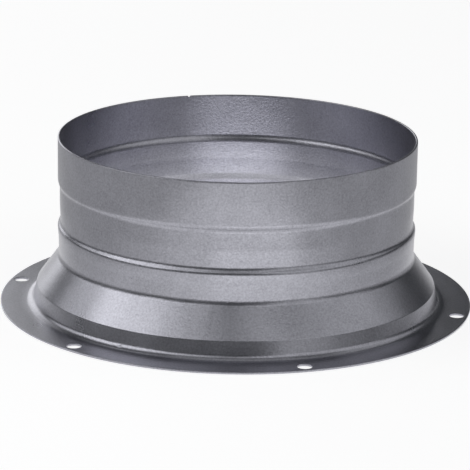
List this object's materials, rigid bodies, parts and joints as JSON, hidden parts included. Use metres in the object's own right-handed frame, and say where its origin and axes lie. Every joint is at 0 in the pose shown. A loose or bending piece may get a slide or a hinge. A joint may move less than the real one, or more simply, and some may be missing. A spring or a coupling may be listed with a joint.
{
  "type": "duct wall flange",
  "caption": "Round wall flange for a duct: a flat ring with screw holes, a riser and a conical shoulder up to a grooved and beaded collar.",
  "frame": {"origin": "centre of the ring's mounting face, at the bottom of the part", "axes": "+Z along the duct's axis, from the wall towards the collar's open end"},
  "size_m": [0.195, 0.195, 0.07],
  "materials": {
    "painted_steel": "satin metallic silver-grey paint with a fine sparkle grain"
  },
  "bodies": {
    "root": {"flange": "painted_steel"}
  },
  "joints": []
}
